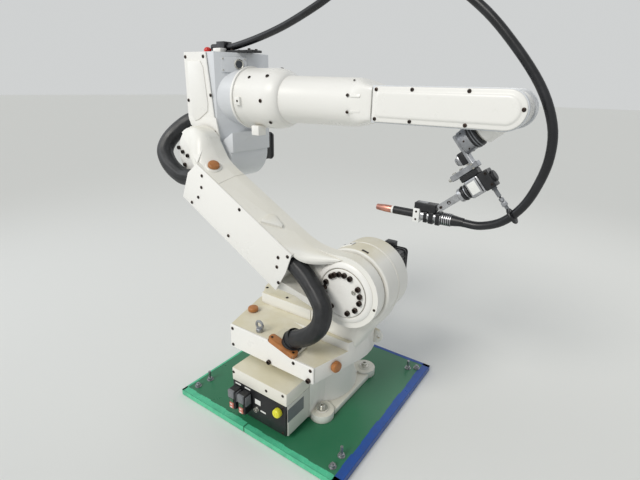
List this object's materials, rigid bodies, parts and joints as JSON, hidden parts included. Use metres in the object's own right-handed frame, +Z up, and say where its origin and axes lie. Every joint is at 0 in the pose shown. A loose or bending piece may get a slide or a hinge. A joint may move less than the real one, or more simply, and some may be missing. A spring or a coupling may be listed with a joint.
{
  "type": "long-reach six-axis arc welding robot arm",
  "caption": "Floor-standing six-axis welding robot: plate, base with cable panel, turning body, lower arm, elbow, forearm, wrist and torch.",
  "frame": {"origin": "centre of the floor plate's underside, on the turning axis of the base", "axes": "+Z up along the first joint's axis, +X the way the forearm points at rest, the cable panel faces -Y"},
  "size_m": [1.3708, 0.74, 1.5034],
  "materials": {
    "green_floor_paint": "satin",
    "cream_paint": "satin",
    "cool_white_paint": "satin",
    "box_paint": "satin",
    "panel_black": "satin",
    "connector_grey": "matte",
    "yellow_plastic": "gloss",
    "motor_black": "matte",
    "bright_steel": "brushed",
    "tool_black": "matte",
    "orange_rubber": "matte",
    "cable_black": "matte",
    "red_lens": "gloss",
    "copper": "satin"
  },
  "bodies": {
    "base": {"base_plate": "green_floor_paint", "base_casting": "cream_paint", "connector_box": "box_paint", "connector_lid": "cream_paint", "connector_panel": "panel_black", "power_connector": "connector_grey", "signal_connector": "connector_grey", "gas_port_cap": "yellow_plastic"},
    "swivel": {"swivel_body": "cream_paint", "swivel_cover": "cream_paint", "shoulder_motor": "motor_black", "gland_plate": "orange_rubber", "lifting_eye": "bright_steel", "top_stop_cap": "orange_rubber", "side_stop_cap": "orange_rubber", "shoulder_conduit": "cable_black"},
    "lower_arm": {"lower_arm": "cream_paint", "arm_cover": "cream_paint", "shoulder_gear_plate": "cream_paint", "elbow_gear_plate": "cream_paint", "arm_stop_cap": "orange_rubber", "elbow_conduit": "cable_black"},
    "elbow": {"elbow_casting": "cool_white_paint", "elbow_cover": "cream_paint", "elbow_motor": "motor_black", "status_lamp": "red_lens", "cable_clamp": "tool_black", "torch_cable": "cable_black"},
    "forearm": {"forearm_tube": "cream_paint", "wrist_case": "cream_paint", "wrist_cover_left": "cream_paint", "wrist_cover_right": "cream_paint"},
    "wrist": {"wrist_body": "cream_paint"},
    "tool": {"tool_ring": "tool_black", "tool_flange": "bright_steel", "torch_bracket": "bright_steel", "bracket_block": "tool_black", "sensor_plate": "tool_black", "shock_sensor": "bright_steel", "sensor_neck": "bright_steel", "cable_guide": "bright_steel", "torch_clamp": "cream_paint", "torch_body": "bright_steel", "gas_nozzle": "copper"}
  },
  "joints": [
    {"name": "j1_turn", "type": "hinge", "parent": "base", "child": "swivel", "pos_m": [0, 0, 0.242], "axis": [0, 0, 1], "range_deg": [-170, 170]},
    {"name": "j2_lower_arm", "type": "hinge", "parent": "swivel", "child": "lower_arm", "pos_m": [0.23, 0, 0.552], "axis": [0, 1, 0], "range_deg": [-35, 90], "deforming": ["shoulder_conduit"]},
    {"name": "j3_elbow", "type": "hinge", "parent": "lower_arm", "child": "elbow", "pos_m": [-0.42973, 0, 0.92526], "axis": [0, -1, 0], "range_deg": [-8, 215], "deforming": ["elbow_conduit"]},
    {"name": "j4_forearm", "type": "hinge", "parent": "elbow", "child": "forearm", "pos_m": [0, 0, 1.12526], "axis": [1, 0, 0], "range_deg": [-155, 155]},
    {"name": "j5_wrist", "type": "hinge", "parent": "forearm", "child": "wrist", "pos_m": [0.61027, 0, 1.12526], "axis": [0, 1, 0], "range_deg": [-240, 0], "deforming": ["torch_cable"]},
    {"name": "j6_tool", "type": "hinge", "parent": "wrist", "child": "tool", "pos_m": [0.61027, 0, 1.12526], "axis": [-0.766, 0, -0.6428], "range_deg": [-110, 110]}
  ]
}
